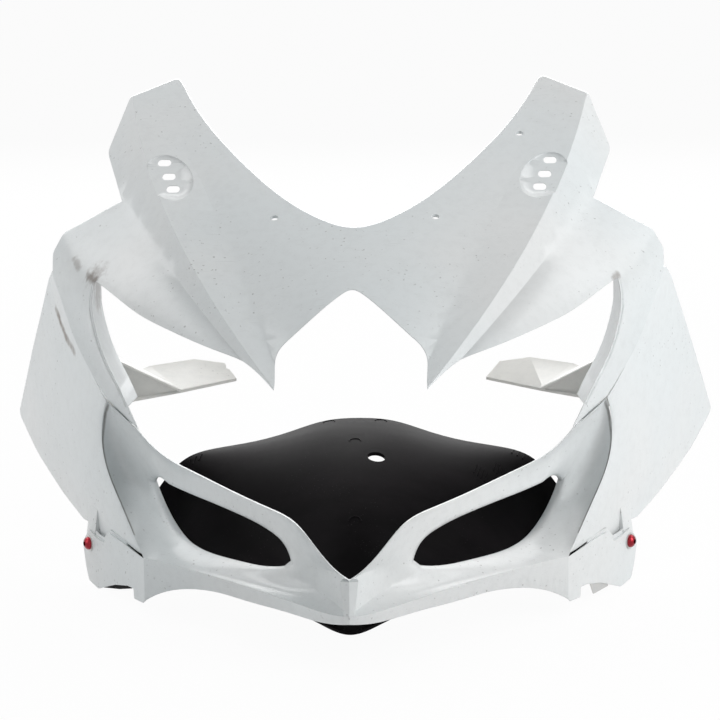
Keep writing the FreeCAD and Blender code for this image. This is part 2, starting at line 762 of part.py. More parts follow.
# Side panels with a lug behind the wing for the bolt
wing_seat = hits(nose_left.Shape, bolt_at + Vector(0, 0, -9) - WING_IN * 5, WING_IN)[1] - 5
lug_raw = plate("lug_raw", bolt_at, WING_IN, Vector(0, 0, 1), (-12, 8, -14, 32, wing_seat - 1, wing_seat + 5))
lug = less("lug", lug_raw, [nose_left])
cover_axis = side_in(COVER_FIX[0])
cover_at = side_point(*COVER_FIX)
cover_boss = pair("Part::Cylinder", "cover_boss", cover_at + cover_axis * (WALL * 0.6), cover_axis,
                  Radius="Sizes.boss_outer / 2", Height="Sizes.wall * 0.4 + Sizes.tongue_thick - Sizes.hole_clearance")
cover_pilot = pair("Part::Cylinder", "cover_pilot", cover_at + cover_axis * (WALL * 0.6), cover_axis,
                   Radius="Sizes.screw_shank / 2 + 0.05", Height="Sizes.pilot_depth")
side_solid = joined("side_solid", [side_sheet, lug, cover_boss[0]])
side_left = less("side_panel_left", side_solid, [bolt_room[0], cover_pilot[0]])
side_right = mirrored("side_panel_right", side_left)

# Inner covers: mounting plate, web, lip and leaf
LEAF = [(168, 397), (118, 427), (131, 450), (160, 450), (200, 430), (240, 392), (268, 352), (252, 340), (210, 374)]
WEB = [Vector(250, 334, 208), Vector(262, 356, 146), Vector(168, 397, 152)]


def leaf_point(x, y):
    return Vector(x, y, 152 + 0.1326 * (x - 168) + 0.371 * (y - 397))


def slab(points, shift):
    return Part.Face(Part.makePolygon(points + points[:1])).extrude(shift)


def cover_shape():
    leaf = slab([leaf_point(*q) for q in LEAF], Vector(0, 0.8, -WALL * 0.9))
    top, low, tip = WEB
    n = (low - top).cross(tip - top).normalize()
    if n.y < 0:
        n = n * -1
    web = slab(WEB, n * WALL * 0.85)
    turn = Vector(2, 7, 2)
    lip = slab([top, tip, tip + turn * 0.6, top + turn * 2], Vector(0, 0, -WALL * 0.8))
    return [feature("cover_leaf", leaf), feature("cover_web", web), feature("cover_lip", lip)]


cover_plate = plate("cover_plate", cover_at, cover_axis, Vector(0, 0, 1),
                    (-18, 24, -34, 30, WALL * 0.5, WALL + size("tongue_thick")))
cover_raw = joined("cover_raw", cover_shape() + [cover_plate])
cover_room = pair("Part::Cylinder", "cover_boss_room", cover_at, cover_axis,
                  Radius="Sizes.boss_outer / 2 + Sizes.hole_clearance / 2", Height="Sizes.wall * 8")
cover_left = less("inner_cover_left", cover_raw, [side_sheet, cover_room[0]])
cover_whole = mirrored("cover_whole", cover_left)
notch = feature("cover_notch", slab([Vector(-112, 436, 100), Vector(-130, 442, 100), Vector(-127, 460, 100)],
                                    Vector(0, 0, 120)))
cover_right = less("inner_cover_right", cover_whole, [notch])

# Under panel with its vent hole
vent = bound("Part::Cylinder", "vent", Radius="Sizes.vent_hole / 2", Height="80 mm")
vent.Placement.Base = Vector(18, 235, 90)
under_panel = less("under_panel", under_sheet, [vent])

# Red bolts, washers and clip nuts
HEX_SIDES = 6


def bolt(side, at, axis):
    dome = bound("Part::Ellipsoid", "bolt_dome_" + side, Radius1="Sizes.bolt_dome", Radius2="Sizes.bolt_head / 2")
    dome.Angle1 = 0
    shank = bound("Part::Cylinder", "bolt_shank_" + side, Radius="Sizes.bolt_shank / 2", Height="Sizes.bolt_length")
    shank.setExpression("Placement.Base.z", "-Sizes.bolt_length")
    socket = bound("Part::Prism", "bolt_socket_" + side, Circumradius="Sizes.bolt_head * 0.2",
                   Height="Sizes.socket_depth * 2")
    socket.Polygon = HEX_SIDES
    socket.setExpression("Placement.Base.z", "Sizes.bolt_dome - Sizes.socket_depth")
    item = less("red_bolt_" + side, joined("bolt_blank_" + side, [dome, shank]), [socket])
    item.Placement = facing(at, axis)
    return item


def washer(side, at, axis):
    rim = bound("Part::Cylinder", "washer_rim_" + side, Radius="Sizes.washer_outer / 2", Height="Sizes.washer_thick")
    bore = bound("Part::Cylinder", "washer_bore_" + side, Radius="Sizes.bolt_shank / 2 + Sizes.hole_clearance / 2",
                 Height="Sizes.washer_thick")
    item = less("bolt_washer_" + side, rim, [bore])
    item.Placement = facing(at, axis)
    return item


def clip_nut(side, at, axis):
    leaf = bound("Part::Box", "nut_leaf_" + side, Length="Sizes.nut_width", Width="Sizes.nut_height",
                 Height="Sizes.nut_sheet")
    leaf.setExpression("Placement.Base.x", "-Sizes.nut_width / 2")
    leaf.setExpression("Placement.Base.y", "-Sizes.nut_height / 2")
    barrel = bound("Part::Cylinder", "nut_barrel_" + side, Radius="Sizes.nut_barrel / 2",
                   Height="Sizes.nut_barrel_height + Sizes.nut_sheet")
    bore = bound("Part::Cylinder", "nut_bore_" + side, Radius="Sizes.bolt_shank / 2 + 0.05", Height="30 mm")
    item = less("clip_nut_" + side, joined("nut_blank_" + side, [leaf, barrel]), [bore])
    item.Placement = facing(at, axis)
    return item


def screw(name, at, axis):
    # Pan screw whose head sits at the given point and whose shank points against the axis
    head = bound("Part::Cone", name + "_head", Radius1="Sizes.screw_head / 2", Radius2="Sizes.screw_head * 0.32",
                 Height="Sizes.screw_head_height")
    shank = bound("Part::Cylinder", name + "_shank", Radius="Sizes.screw_shank / 2", Height="Sizes.screw_length")
    shank.setExpression("Placement.Base.z", "-Sizes.screw_length")
    cross = bound("Part::Prism", name + "_cross", Circumradius="Sizes.screw_head * 0.2", Height="10 mm")
    cross.Polygon = 4
    cross.setExpression("Placement.Base.z", "Sizes.screw_head_height * 0.4")
    item = less(name, joined(name + "_blank", [head, shank]), [cross])
    item.Placement = facing(at, axis)
    return item


parts = [upper_cowl, nose_cowl, side_left, side_right, cover_left, cover_right, under_panel]
fasteners = []
lug_seat = hits(lug.Shape, bolt_at, WING_IN)[1]
for side, turn in (("left", lambda v: v), ("right", mirror_x)):
    out = turn(WING_IN) * -1
    fasteners.append(washer(side, turn(bolt_at), out))
    fasteners.append(bolt(side, turn(bolt_at) + out * size("washer_thick"), out))
    fasteners.append(clip_nut(side, turn(bolt_at + WING_IN * lug_seat), turn(WING_IN)))
    fasteners.append(screw("leg_screw_" + side, turn(leg_at + leg_in * (leg_seat + size("tongue_thick"))), turn(leg_in)))
    cover_seat = WALL + size("tongue_thick")
    fasteners.append(screw("cover_screw_" + side, turn(cover_at + cover_axis * cover_seat), turn(cover_axis)))

doc.recompute()
for item in doc.Objects:
    if "Invalid" in item.State or "Error" in item.State:
        raise RuntimeError("failed: " + item.Label)

# Shift everything so that the origin is the middle of the base
shift = Vector(0, -size("datum_back"), size("datum_lift"))
os.makedirs("parts", exist_ok=True)
for item in parts + fasteners:
    item.Placement.Base = item.Placement.Base + shift
    if item.Shape.isNull() or not item.Shape.isValid():
        raise RuntimeError("bad shape: " + item.Label)
    if len(item.Shape.Solids) != 1:
        raise RuntimeError("not one solid: " + item.Label)
    item.Shape.exportStep("parts/%s.step" % item.Label)
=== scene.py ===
# %% [markdown]
# A motorcycle's front upper fairing, photographed bare on a white ground: four white
# moulded panels, two white inner covers, a black tray under the nose and the hardware
# that holds them together. The solids come from the CAD frame, already in place and at
# real size, so this lesson is about looks: edges, finishes, wear, light and camera.

# %% Load the frame
import math

import bmesh
import bpy
from mathutils import Matrix, Vector


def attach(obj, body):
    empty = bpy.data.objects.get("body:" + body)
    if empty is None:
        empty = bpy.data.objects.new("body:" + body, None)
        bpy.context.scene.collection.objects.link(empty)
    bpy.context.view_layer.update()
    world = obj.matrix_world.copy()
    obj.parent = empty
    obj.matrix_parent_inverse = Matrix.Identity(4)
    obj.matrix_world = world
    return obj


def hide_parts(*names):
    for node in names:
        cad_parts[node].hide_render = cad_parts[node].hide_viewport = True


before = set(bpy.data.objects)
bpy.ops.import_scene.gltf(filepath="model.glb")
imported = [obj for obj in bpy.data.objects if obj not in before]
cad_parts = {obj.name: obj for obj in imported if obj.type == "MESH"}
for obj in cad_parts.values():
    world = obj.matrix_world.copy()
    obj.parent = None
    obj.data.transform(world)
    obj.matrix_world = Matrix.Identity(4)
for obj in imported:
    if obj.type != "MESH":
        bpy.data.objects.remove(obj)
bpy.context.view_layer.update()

print("nodes in the frame:", len(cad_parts))

# %% [markdown]
# The camera stands straight ahead of the nose and a little above it, with a long lens,
# as a catalogue photographer would place it. The aim point, the turn, the height and
# the small roll were matched to the outline of the panels in the photograph. The view is
# built from three axes, because a roll is easier to read there than in Euler angles.

# %% Camera
MM = 0.001
AIM = Vector((5.62, -64.3, 227.28)) * MM
TURN = math.radians(1.655)
HEIGHT = math.radians(11.918)
ROLL = math.radians(-0.689)
DISTANCE = 2.6
SENSOR = 36.0
IMAGE_SIDE = 720
FOCAL_PIXELS = 3000.9

back = Vector((math.sin(TURN) * math.cos(HEIGHT), -math.cos(TURN) * math.cos(HEIGHT), math.sin(HEIGHT)))
level = Vector((math.cos(TURN), math.sin(TURN), 0.0))
upright = back.cross(level)
right = level * math.cos(ROLL) + upright * math.sin(ROLL)
up = upright * math.cos(ROLL) - level * math.sin(ROLL)
stand = Matrix((right, up, back)).transposed().to_4x4()
stand.translation = AIM + back * DISTANCE

camera_data = bpy.data.cameras.new("camera")
camera_data.sensor_width = SENSOR
camera_data.lens = SENSOR * FOCAL_PIXELS / IMAGE_SIDE
camera = bpy.data.objects.new("camera", camera_data)
bpy.context.scene.collection.objects.link(camera)
camera.matrix_world = stand
bpy.context.scene.camera = camera
print("lens in mm:", round(camera_data.lens, 1))

# %% [markdown]
# Finishes are written as sums of small masks. A shader graph is only arithmetic, so one
# small class wraps a socket and lets the masks be added and multiplied as in a formula.


# %% Shader arithmetic
class Value:
    """A socket that can be used in Python arithmetic."""

    def __init__(self, sheet, socket):
        self.sheet = sheet
        self.socket = socket

    def math(self, operation, *others):
        return self.sheet.node("ShaderNodeMath", {"operation": operation}, [self, *others])

    def __add__(self, other):
        return self.math("ADD", other)

    def __mul__(self, other):
        return self.math("MULTIPLY", other)

    def __rsub__(self, other):
        return self.sheet.node("ShaderNodeMath", {"operation": "SUBTRACT"}, [other, self])

    __radd__ = __add__

    def above(self, low, high):
        """0 below low, 1 above high, smooth between."""
        limits = {"Value": self, "From Min": low, "From Max": high}
        return self.sheet.node("ShaderNodeMapRange", {"interpolation_type": "SMOOTHSTEP"}, limits)

    def either(self, other):
        """The stronger of two masks."""
        return self.math("MAXIMUM", other)


print("shader arithmetic ready")

# %% [markdown]
# A finish is a material with the few textures that plastic and metal need here. One method
# makes every node, whatever its kind, so each texture below is a line or two. All of them
# read object coordinates, which are the part's own metres, so a mark can be put in place.

# %% Finishes
SHAKE_SCALE = 500.0
LINE_HEART = 0.1
BEVEL_SAMPLES = 6


class Finish:
    """A material and the nodes it is made of."""

    def __init__(self, name, **constants):
        self.material = bpy.data.materials.new(name)
        self.material.use_nodes = True
        self.tree = self.material.node_tree
        self.shader = self.tree.nodes["Principled BSDF"]
        self.feed(**constants)
        self.place = self.node("ShaderNodeTexCoord", output="Object")

    def node(self, kind, settings=None, inputs=None, output=0):
        made = self.tree.nodes.new(kind)
        for key, value in (settings or {}).items():
            setattr(made, key, value)
        pairs = enumerate(inputs) if isinstance(inputs, list) else (inputs or {}).items()
        for key, value in pairs:
            self.join(made.inputs[key], value)
        return Value(self, made.outputs[output])

    def join(self, socket, value):
        if isinstance(value, Value):
            self.tree.links.new(value.socket, socket)
        else:
            socket.default_value = value

    def feed(self, **values):
        for name, value in values.items():
            self.join(self.shader.inputs[name.replace("_", " ")], value)

    def vector(self, operation, first, second, output="Vector"):
        return self.node("ShaderNodeVectorMath", {"operation": operation}, [first, second], output)

    def axes(self):
        """The three object coordinates, one by one."""
        outputs = self.node("ShaderNodeSeparateXYZ", None, [self.place]).socket.node.outputs
        return [Value(self, socket) for socket in outputs]

    def stretched(self, turn, scale):
        """Object coordinates turned by degrees and scaled along each axis."""
        inputs = {"Vector": self.place, "Rotation": [math.radians(angle) for angle in turn], "Scale": scale}
        return self.node("ShaderNodeMapping", None, inputs)

    def wavy(self, reach):
        """Object coordinates shaken by noise, so that cells are not round."""
        shake = self.node("ShaderNodeTexNoise", None, {"Vector": self.place, "Scale": SHAKE_SCALE}, "Color")
        return self.vector("ADD", self.place, self.vector("MULTIPLY", shake, (reach, reach, reach)))

    def noise(self, scale, detail=2.0, at=None, roughness=0.5):
        inputs = {"Vector": at or self.place, "Scale": scale, "Detail": detail, "Roughness": roughness}
        return self.node("ShaderNodeTexNoise", None, inputs)

    def cells(self, scale, at=None, output="Distance"):
        return self.node("ShaderNodeTexVoronoi", None, {"Vector": at or self.place, "Scale": scale}, output)

    def blend(self, share, first, second):
        """One colour faded into another."""
        return self.node("ShaderNodeMix", {"data_type": "RGBA"}, {0: share, 6: first, 7: second}, 2)

    def near(self, start, end, radius, place=None):
        """1 along a line on the object, falling to 0 at the radius. Millimetres."""
        place = place or self.place
        start, end = Vector(start) * MM, Vector(end) * MM
        reach = end - start
        share = self.vector("DOT_PRODUCT", self.vector("SUBTRACT", place, start), reach, "Value")
        share = (share * (1 / reach.length_squared)).math("MAXIMUM", 0.0).math("MINIMUM", 1.0)
        spread = self.node("ShaderNodeCombineXYZ", None, [share, share, share])
        closest = self.vector("ADD", self.vector("MULTIPLY", spread, reach), start)
        gap = self.vector("DISTANCE", place, closest, "Value")
        return 1 - gap.above(LINE_HEART * radius * MM, radius * MM)

    def bump(self, height, strength, distance, edge=0.0):
        """Fine relief, on edges that look rounded to a radius."""
        inputs = {"Height": height, "Strength": strength, "Distance": distance}
        if edge:
            inputs["Normal"] = self.node("ShaderNodeBevel", {"samples": BEVEL_SAMPLES}, {"Radius": edge})
        return self.node("ShaderNodeBump", None, inputs)


print("finishes ready")

# %% [markdown]
# The outer panels are white plastic straight from the mould, handled and stored without
# paint. Up close the white is not even: a faint cool and warm drift, grey specks, rubbed
# lines and a film of dust. The specks are cells of a Voronoi pattern with small hearts,
# kept in patches by a slow noise; the lines are noise pulled out long in two directions.

# %% White plastic
COOL_WHITE = (0.70, 0.74, 0.75, 1)
WARM_WHITE = (0.735, 0.75, 0.75, 1)
# The covers' paler, warmer white is painted light: the same plastic, brightened because it stands in shade
COVER_LIT_WHITE = (0.82, 0.81, 0.775, 1)
COVER_WARM_LIT_WHITE = (0.86, 0.845, 0.80, 1)
SPECK_GREY = (0.16, 0.155, 0.15, 1)
DUST_GREY = (0.40, 0.41, 0.41, 1)
EDGE_RADIUS = 0.0009
# How fine each pattern is, in steps per metre
DRIFT_SCALE, PATCH_SCALE = 4.0, 11.0
FILM_SCALE, GRAIN_SCALE = 110.0, 260.0
SPECK_SCALE, MARK_SCALE = 190.0, 60.0
DRAWN_SCALE, CROSSED_SCALE = 40.0, 45.0
# How strongly each shows
SPECK_DEPTH, FILM_DEPTH, LINE_DEPTH = 0.55, 0.12, 0.2
SHELL_SPECKS, COVER_SPECKS = 1.0, 0.6


def specks(finish):
    """Small dark specks with ragged rims, and longer marks between them."""
    shaken = finish.wavy(0.004)
    small = 1 - finish.cells(SPECK_SCALE, shaken).above(0.1, 0.2)
    sparse = finish.cells(SPECK_SCALE, shaken, "Color").math("GREATER_THAN", 0.6)
    marks = 1 - finish.cells(MARK_SCALE, finish.stretched((15, 0, 40), (1, 2.4, 2.4))).above(0.03, 0.07)
    return (small * sparse * SPECK_DEPTH).either(marks * SPECK_DEPTH)


def rubbed_lines(finish):
    """Fine scratches in two directions."""
    drawn = finish.noise(DRAWN_SCALE, 2.0, finish.stretched((20, 0, 35), (1, 18, 18)))
    crossed = finish.noise(CROSSED_SCALE, 2.0, finish.stretched((-30, 10, -50), (20, 1, 20)))
    return drawn.above(0.66, 0.72) + crossed.above(0.67, 0.73)


print("specks and rubbed lines ready")

# %% [markdown]
# Dirt sits where hands and tools reach and where water dries: in the two upper corners of
# the headlamp opening, on the flange under one of them and in a long scuff on one side
# panel. The joint behind the nose gets a dark line that is painted seam shade, partly dirt.
# Each mark is a line on the part with a soft rim. The scuffs are broken up by stretched
# noise, as if wiped. The joint is the same on both sides, so it is drawn once, on
# coordinates folded at the middle.

# %% Dirt and painted seam shade
SCUFF_BROWN = (0.13, 0.10, 0.08, 1)
# The dark line in the joint behind the nose is painted seam shade, partly dirt
SEAM_SHADE_AND_DIRT_GREY = (0.12, 0.11, 0.10, 1)
JOINT_WIDTH = 2.4
WIPE_SCALE = 220.0
# From, to and radius in mm, and strength
DIRT = [
    ((-233.0, 28.0, 282.0), (-239.0, 36.0, 285.0), 8, 0.75),
    ((-229.0, 36.0, 284.0), (-231.0, 44.0, 262.0), 22, 0.55),
    ((-250.0, 50.0, 289.0), (-256.0, 60.0, 297.0), 7, 0.45),
    ((-282.0, 109.0, 240.0), (-271.0, 86.0, 219.0), 9, 1.0),
    ((-271.0, 86.0, 219.0), (-260.0, 67.0, 209.0), 8, 0.8),
    ((231.0, 23.0, 282.0), (234.0, 28.0, 285.0), 7, 0.6),
]
NOSE_JOINT = [
    (220.6, -6.6, 177.0), (223.6, -7.6, 168.5), (225.3, -8.4, 155.1), (226.0, -12.5, 142.4),
    (224.0, -17.0, 129.9), (220.2, -23.2, 117.7), (213.6, -32.2, 103.7), (206.6, -42.6, 90.9),
    (200.5, -52.2, 79.9), (195.8, -60.2, 71.1),
]


def scuffed(finish, colour, film, grain):
    """The colour with its scuffs and smears."""
    wiped = finish.noise(WIPE_SCALE, 4.0, finish.stretched((0, 35, 30), (1, 1, 0.25)))
    smear = grain * 0.25 + film * 0.4 + wiped * 0.6
    for start, end, radius, strength in DIRT:
        close = finish.near(start, end, radius)
        worn = (close * 0.5 + smear).above(0.70, 1.2) * close.above(0.0, 0.3)
        colour = finish.blend(worn * strength, colour, SCUFF_BROWN)
    return colour


def with_seam_shade_and_dirt(finish, colour, film):
    """The colour with a dark line in the joint behind the nose: painted seam shade, partly dirt."""
    across, along, high = finish.axes()
    folded = finish.node("ShaderNodeCombineXYZ", None, [across.math("ABSOLUTE"), along, high])
    runs = [finish.near(start, end, JOINT_WIDTH, folded) for start, end in zip(NOSE_JOINT, NOSE_JOINT[1:])]
    seam_shade_and_grime = runs[0]
    for run in runs[1:]:
        seam_shade_and_grime = seam_shade_and_grime.either(run)
    return finish.blend(seam_shade_and_grime * (0.45 + film * 0.6), colour, SEAM_SHADE_AND_DIRT_GREY)


print("marks of dirt:", len(DIRT))

# %% [markdown]
# The two whites are one recipe with different colours. The inner covers are the same
# plastic as the outer panels; their paler, warmer white is painted light, which brightens
# covers that stand in shade. They carry fainter specks and have no scuffs.


# %% White finishes
def white_plastic(name, cool, warm, speck_share, dirty_and_seam_shaded):
    finish = Finish(name, IOR=1.5, Coat_Roughness=0.1)
    drift = finish.noise(DRIFT_SCALE, 2.0).above(0.35, 0.65)
    dusty = finish.noise(PATCH_SCALE, 4.0, roughness=0.6).above(0.40, 0.62)
    film = finish.noise(FILM_SCALE, 6.0, roughness=0.7)
    grain = finish.noise(GRAIN_SCALE, 3.0)
    specked = specks(finish) * dusty * speck_share
    lines = rubbed_lines(finish) * dusty
    colour = finish.blend(drift, cool, warm)
    colour = finish.blend(film.above(0.4, 0.75) * FILM_DEPTH, colour, DUST_GREY)
    colour = finish.blend(lines * LINE_DEPTH, colour, DUST_GREY)
    colour = finish.blend(specked, colour, SPECK_GREY)
    # Scuffs are dirt; the line in the joint behind the nose is painted seam shade, partly dirt
    if dirty_and_seam_shaded:
        colour = with_seam_shade_and_dirt(finish, scuffed(finish, colour, film, grain), film)
    finish.feed(
        Base_Color=colour,
        Roughness=0.30 + film * 0.1 + lines * 0.15 + specked * 0.2,
        Coat_Weight=0.3 - dusty * 0.15,
        Normal=finish.bump(grain * 0.4 + lines * 0.6, 0.1, 0.0004, EDGE_RADIUS),
    )
    return finish.material


WHITE_SHELL = white_plastic("white_shell", COOL_WHITE, WARM_WHITE, SHELL_SPECKS, dirty_and_seam_shaded=True)
WHITE_COVER = white_plastic("white_cover", COVER_LIT_WHITE, COVER_WARM_LIT_WHITE, COVER_SPECKS, dirty_and_seam_shaded=False)
print("white finishes:", WHITE_SHELL.name, WHITE_COVER.name)

# %% [markdown]
# The tray under the nose is black plastic with a satin face. Its black is broken by
# handling marks, which change how sharply it reflects, by grains of dust, and by a thin
# paler film along the handling marks. The parts that lie highest are also painted paler,
# as painted light, so the low parts in the nostrils stay in painted shade. A low specular
# level keeps it dark on the white ground.

# %% Black plastic
TRAY_BLACK = (0.0010, 0.0008, 0.0011, 1)
TRAY_FILM_AND_TOP_LIGHT = (0.0078, 0.0062, 0.0074, 1)
TRAY_DUST = (0.12, 0.115, 0.11, 1)
# Heights in metres over which the painted top light fades in
TOP_LIGHT_FROM, TOP_LIGHT_TO = 0.085, 0.135

black = Finish("black_panel", IOR=1.45, Specular_IOR_Level=0.03)
smears = black.noise(9.0, 5.0, black.stretched((0, 0, 25), (1, 2.2, 1)), 0.6)
dust = (1 - black.cells(330.0).above(0.05, 0.14)) * black.noise(16.0, 3.0).above(0.5, 0.68)
high = black.axes()[2]
# Half the paler film follows the smears; the other half is painted light, paler on the parts that lie
# highest, with painted shade below
film = smears.above(0.4, 0.7) * 0.5 + high.above(TOP_LIGHT_FROM, TOP_LIGHT_TO) * 0.5
black.feed(
    Base_Color=black.blend(dust * 0.35, black.blend(film, TRAY_BLACK, TRAY_FILM_AND_TOP_LIGHT), TRAY_DUST),
    Roughness=0.34 + smears * 0.2 + dust * 0.2,
    Normal=black.bump(black.noise(300.0, 2.0), 0.08, 0.0003),
)
BLACK_PANEL = black.material
print("black finish:", BLACK_PANEL.name)

# %% [markdown]
# The two red bolts are anodised aluminium: a metal whose dyed oxide skin is clear and
# hard. The dye drifts a little in depth, and a fine grain breaks the reflection. A clear
# coat over the metal stands for the oxide skin.

# %% Red anodised aluminium
RED_DEEP = (0.19, 0.003, 0.010, 1)
RED_BRIGHT = (0.31, 0.006, 0.016, 1)

red = Finish("red_anodised", Metallic=1.0, Coat_Roughness=0.1)
shade = red.noise(180.0, 3.0)
red.feed(
    Base_Color=red.blend(shade, RED_DEEP, RED_BRIGHT),
    Roughness=0.2 + shade * 0.14,
    Coat_Weight=0.4 + shade * 0.2,
    Normal=red.bump(red.noise(900.0, 1.0), 0.06, 0.0002),
)
RED_ANODISED = red.material
print("red finish:", RED_ANODISED.name)

# %% [markdown]
# Washers, nuts and inner screws are zinc plated steel. Zinc dulls in patches, so one
# noise drives both its colour and how rough it is. The tab under one wing takes it too.

# %% Zinc plated steel
ZINC_GREY = (0.52, 0.53, 0.54, 1)
ZINC_PALE = (0.66, 0.65, 0.62, 1)

zinc = Finish("steel", Metallic=1.0)
bloom = zinc.noise(160.0, 4.0)
zinc.feed(
    Base_Color=zinc.blend(bloom, ZINC_GREY, ZINC_PALE),
    Roughness=0.28 + bloom * 0.22,
    Normal=zinc.bump(zinc.noise(700.0, 2.0), 0.1, 0.0002),
)
STEEL = zinc.material
print("steel finish:", STEEL.name)

# %% [markdown]
# Each CAD solid arrives as loose triangles. A panel here is a copy of its solid: welded
# into one skin, smoothed over its soft curves and kept sharp at its folds. The inner covers
# are smoothed further, so only their hard corners stay sharp. A bevel modifier is held back
# by the smallest triangle beside an edge, so the radius that a mould leaves on the edges of
# the white panels comes from their finish instead.

# %% Dressed panels
WELD = 0.00002
SHARP = math.radians(11)
SOFT = math.radians(30)


def placed(name, mesh):
    piece = bpy.data.objects.new(name, mesh)
    bpy.context.scene.collection.objects.link(piece)
    return piece


def settled(piece):
    """The piece with its modifiers applied, as a plain mesh."""
    view = bpy.context.evaluated_depsgraph_get()
    mesh = bpy.data.meshes.new_from_object(piece.evaluated_get(view))
    piece.modifiers.clear()
    piece.data = mesh
    return piece


def finished(piece, slot, finish, *nodes, sharp=SHARP):
    """The piece with its finish, its folds and its place in the frame."""
    piece.data.materials.clear()
    piece.data.materials.append(finish)
    piece.data.set_sharp_from_angle(angle=sharp)
    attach(piece, "root")
    if nodes:
        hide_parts(*nodes)
    print(piece.name, "faces:", len(piece.data.polygons))
    return piece


def welded(node):
    piece = placed(node + "_panel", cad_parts[node].data.copy())
    piece.modifiers.new("weld", "WELD").merge_threshold = WELD
    return settled(piece)


for node in ("upper_cowl", "nose_cowl"):
    finished(welded(node), "white_shell", WHITE_SHELL, node)
for node in ("inner_cover_left", "inner_cover_right"):
    finished(welded(node), "white_cover", WHITE_COVER, node, sharp=SOFT)
tray = finished(welded("under_panel"), "black_panel", BLACK_PANEL, "under_panel")

# %% [markdown]
# The front edge of each side panel is rolled forward until it meets the leg of the upper
# cowl, so only a thin line shows between the two. The roll is made by moving points: far
# from the edge nothing moves, at the edge the points move most, with a smooth step between.
# The lug behind each wing is leaned back at its top, until it is flush with the panel that
# it stiffens. Moving points keeps the solid's mesh, which a new surface would not.

# %% Side panels
SIDES = {"left": 1, "right": -1}
# The roll, in metres: heights it grows between, reach from the edge, depth, and where the edge lies
ROLL_FROM, ROLL_TO = 0.205, 0.275
ROLL_REACH = 0.045
ROLL_DEPTH = 0.0145
EDGE_AT, EDGE_LEAN = 0.2404, 0.356
# The plane of the lower wing, in mm on the left side: a point at its root, the way along and the way in
WING_ROOT = Vector((186.0, -74.37, 5.86))
WING_ALONG = Vector((1.0, 1.72, 0.0))
WING_IN = Vector((-1.72, 1.0, 0.0)).normalized()
# The lug in mm: a box round its top, how deep its face goes, and how far the face leans in
LUG_LOW, LUG_HIGH = Vector((238.0, 0.0, 60.0)), Vector((252.0, 60.0, 75.0))
LUG_FACE = 2.4
LUG_SIDE, LUG_LEAN, LUG_TWIST = 239.8, 3.2, 0.158


def mirrored(point, sign):
    return Vector((sign * point.x, point.y, point.z))


def limited(value):
    return min(max(value, 0.0), 1.0)


def smooth_step(value):
    value = limited(value)
    return value * value * (3 - 2 * value)


def lug_lean(place):
    """How far a point in mm on the top of the lug's face leans in from the wing."""
    boxed = all(low < at < high for low, at, high in zip(LUG_LOW, place, LUG_HIGH))
    if boxed and (place - WING_ROOT).dot(WING_IN) < LUG_FACE:
        return WING_IN * (LUG_LEAN + LUG_TWIST * (place.x - LUG_SIDE))
    return Vector()


def edge_roll(place):
    """How far a point in metres on a side panel comes forward."""
    rise = limited((place.z - ROLL_FROM) / (ROLL_TO - ROLL_FROM))
    edge = EDGE_AT + EDGE_LEAN * (place.z - ROLL_FROM)
    return ROLL_DEPTH * rise * (1 - smooth_step((abs(place.x) - edge) / ROLL_REACH))


for side, sign in SIDES.items():
    panel = welded("side_panel_" + side)
    for vertex in panel.data.vertices:
        vertex.co += mirrored(lug_lean(mirrored(vertex.co, sign) / MM) * MM, sign)
        vertex.co.y -= edge_roll(vertex.co)
    finished(panel, "white_shell", WHITE_SHELL, "side_panel_" + side)

# %% [markdown]
# Behind the notched seam over each red bolt, the lower wing has a narrow flange that the
# side panel rests on, so no light shows through the joint. It is a strip on the plane of
# the wing, given its thickness by pushing its outline inwards. Such a strip is a row of
# four-cornered rings, so one function makes it and every other strip of the part.

# %% Seam flanges
FLANGE_TOP = [(206, 52.4), (224.8, 54.6), (231.6, 44.2), (237, 44.6), (241, 46.0)]
FLANGE_LOW = [(206, 45), (219, 45), (226, 35), (237, 35), (241, 37)]
FLANGE_FROM, FLANGE_TO = 2.3, 3.5
CORNERS = 4


def strip(name, sign, front, rear):
    """A closed strip between two rows of paired points in mm, front and rear, mirrored by the sign."""
    rings = [(top, low, rear_low, rear_top) for (top, low), (rear_top, rear_low) in zip(front, rear)]
    points = [mirrored(point, sign) * MM for ring in rings for point in ring]
    first = tuple(range(CORNERS))
    last = tuple(reversed(range(len(points) - CORNERS, len(points))))
    faces = [first, last]
    for start in range(0, len(points) - CORNERS, CORNERS):
        for i in range(CORNERS):
            here, beside = start + i, start + (i + 1) % CORNERS
            faces.append((beside, here, here + CORNERS, beside + CORNERS))
    mesh = bpy.data.meshes.new(name)
    mesh.from_pydata(points, [], faces)
    shape = bmesh.new()
    shape.from_mesh(mesh)
    bmesh.ops.recalc_face_normals(shape, faces=shape.faces)
    shape.to_mesh(mesh)
    shape.free()
    return placed(name, mesh)


def on_wing(x, z, depth):
    return WING_ROOT + WING_ALONG * (x - WING_ROOT.x) + Vector((0, 0, z)) + WING_IN * depth


def behind_wing(name, sign, top, low):
    """A strip against the back of the wing, between an upper and a lower outline."""
    rows = []
    for depth in (FLANGE_FROM, FLANGE_TO):
        rows.append([(on_wing(*above, depth), on_wing(*below, depth)) for above, below in zip(top, low)])
    return strip(name, sign, *rows)


for side, sign in SIDES.items():
    finished(behind_wing("seam_flange_" + side, sign, FLANGE_TOP, FLANGE_LOW), "white_shell", WHITE_SHELL)

# %% [markdown]
# Under the lower edge of the wings two scraps show in the photograph: a grey metal tab
# that hangs under one wing and a black strip behind the shallow arch of the other. They
# lie against the back of the wing like the seam flanges, so the same function makes them.

